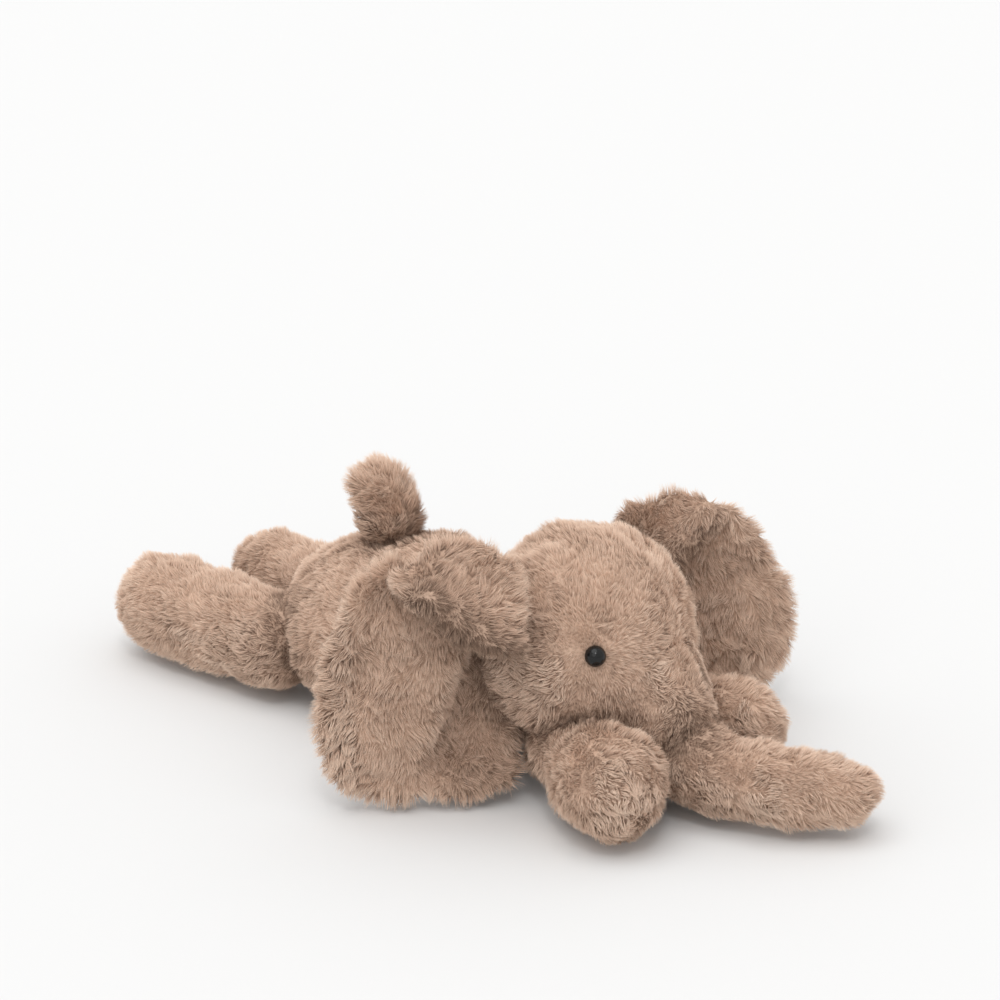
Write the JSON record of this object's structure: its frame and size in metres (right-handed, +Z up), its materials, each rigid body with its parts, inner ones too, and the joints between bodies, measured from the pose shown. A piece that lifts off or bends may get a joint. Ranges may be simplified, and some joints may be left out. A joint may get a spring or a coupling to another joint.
{
  "type": "stuffed elephant",
  "caption": "Stuffed toy elephant lying flat on its belly, legs spread fore and aft, with jointed head, trunk, ears, legs and tail in shaggy pile fabric.",
  "frame": {"origin": "on the floor, on the belly's flat resting face, halfway along the toy", "axes": "+Z up, the elephant faces -Y and its left side is +X"},
  "size_m": [0.1914, 0.3344, 0.1074],
  "materials": {
    "pile": "long soft beige-brown pile, matt",
    "filling": "white fibre filling, matt",
    "pouch_cloth": "plain woven cloth over pellets, matt",
    "black_gloss": "polished black bead",
    "washer_plastic": "white moulded washer"
  },
  "bodies": {
    "torso": {"torso_back_right": "pile", "torso_back_left": "pile", "torso_belly": "pile", "torso_fibre": "filling", "pellet_pouch": "pouch_cloth"},
    "head": {"head_side_right": "pile", "head_side_left": "pile", "head_gusset": "pile", "chin": "pile", "head_fibre": "filling", "eye_bead_right": "black_gloss", "eye_bead_left": "black_gloss", "eye_washer_right": "washer_plastic", "eye_washer_left": "washer_plastic"},
    "trunk": {"trunk_upper": "pile", "trunk_under": "pile", "trunk_fibre": "filling"},
    "ear_right": {"ear_right_front": "pile", "ear_right_wadding": "filling", "ear_right_back": "pile"},
    "ear_left": {"ear_left_front": "pile", "ear_left_wadding": "filling", "ear_left_back": "pile"},
    "foreleg_right": {"foreleg_right_upper": "pile", "foreleg_right_under": "pile", "foreleg_right_fibre": "filling"},
    "foreleg_left": {"foreleg_left_upper": "pile", "foreleg_left_under": "pile", "foreleg_left_fibre": "filling"},
    "hindleg_right": {"hindleg_right_upper": "pile", "hindleg_right_under": "pile", "hindleg_right_fibre": "filling"},
    "hindleg_left": {"hindleg_left_upper": "pile", "hindleg_left_under": "pile", "hindleg_left_fibre": "filling"},
    "tail": {"tail_front": "pile", "tail_back": "pile", "tail_fibre": "filling"}
  },
  "joints": [
    {"name": "head_lift", "type": "hinge", "parent": "torso", "child": "head", "pos_m": [0, -0.008, 0.032], "axis": [-1, 0, 0], "range_deg": [0, 18]},
    {"name": "trunk_lift", "type": "hinge", "parent": "head", "child": "trunk", "pos_m": [0, -0.098, 0.02], "axis": [-1, 0, 0], "range_deg": [0, 25]},
    {"name": "ear_right_swing", "type": "hinge", "parent": "head", "child": "ear_right", "pos_m": [-0.042, -0.044, 0.06], "axis": [0, 0, -1], "range_deg": [-20, 15]},
    {"name": "ear_left_swing", "type": "hinge", "parent": "head", "child": "ear_left", "pos_m": [0.044, -0.035, 0.06], "axis": [0, 0, 1], "range_deg": [-25, 40]},
    {"name": "foreleg_right_swing", "type": "hinge", "parent": "torso", "child": "foreleg_right", "pos_m": [-0.0185, -0.051, 0.02], "axis": [0, 0, -1], "range_deg": [0, 8]},
    {"name": "foreleg_left_swing", "type": "hinge", "parent": "torso", "child": "foreleg_left", "pos_m": [0.0185, -0.051, 0.02], "axis": [0, 0, 1], "range_deg": [0, 8]},
    {"name": "hindleg_right_swing", "type": "hinge", "parent": "torso", "child": "hindleg_right", "pos_m": [-0.024, 0.082, 0.021], "axis": [0, 0, 1], "range_deg": [-3, 30]},
    {"name": "hindleg_left_swing", "type": "hinge", "parent": "torso", "child": "hindleg_left", "pos_m": [0.024, 0.082, 0.021], "axis": [0, 0, -1], "range_deg": [-3, 30]},
    {"name": "tail_fold", "type": "hinge", "parent": "torso", "child": "tail", "pos_m": [0, 0.044, 0.073], "axis": [1, 0, 0], "range_deg": [-6, 50]}
  ]
}
